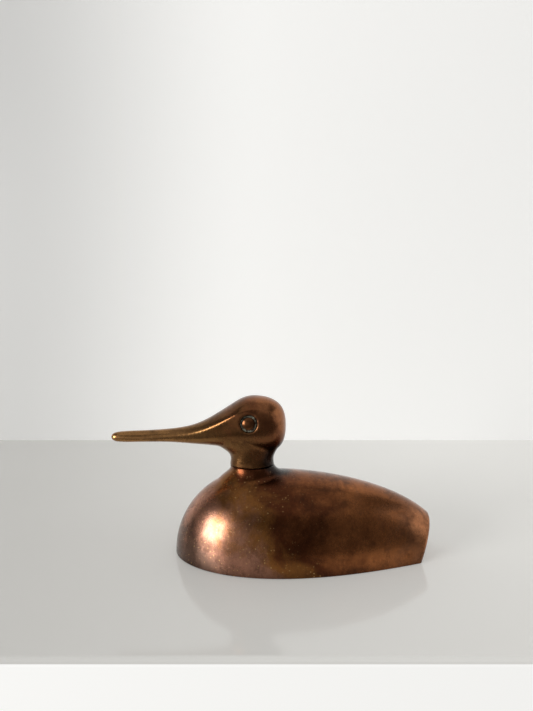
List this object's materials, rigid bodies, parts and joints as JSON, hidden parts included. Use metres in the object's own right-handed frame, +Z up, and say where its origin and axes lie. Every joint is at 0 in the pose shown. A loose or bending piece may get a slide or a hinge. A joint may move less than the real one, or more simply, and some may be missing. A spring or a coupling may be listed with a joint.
{
  "type": "brass duck figurine",
  "caption": "Cast brass duck ornament with a long bill, a round hollow body cut square at the tail, recessed domed eyes and a head bolted down on a raised neck collar.",
  "frame": {"origin": "on the surface that the duck stands on, below the middle of its overall length and on its plane of symmetry", "axes": "+Z up, +X from the bill towards the tail, +Y across the body towards the duck's right side"},
  "size_m": [0.1593, 0.061, 0.0795],
  "materials": {
    "body_brass": "satin aged brass with a dark red-brown patina",
    "head_brass": "satin aged brass, more golden than the body",
    "eye_brass": "satin aged brass",
    "plain_steel": "dull zinc plating",
    "sheet_brass": "rolled sheet, tarnished",
    "felt": "dark green pressed felt"
  },
  "bodies": {
    "root": {"body_casting": "body_brass", "head_casting": "head_brass", "left_eye": "eye_brass", "right_eye": "eye_brass", "neck_stud": "plain_steel", "neck_washer": "plain_steel", "spring_washer": "plain_steel", "neck_nut": "plain_steel", "base_plate": "sheet_brass", "base_screws": "sheet_brass", "base_felt": "felt"}
  },
  "joints": []
}
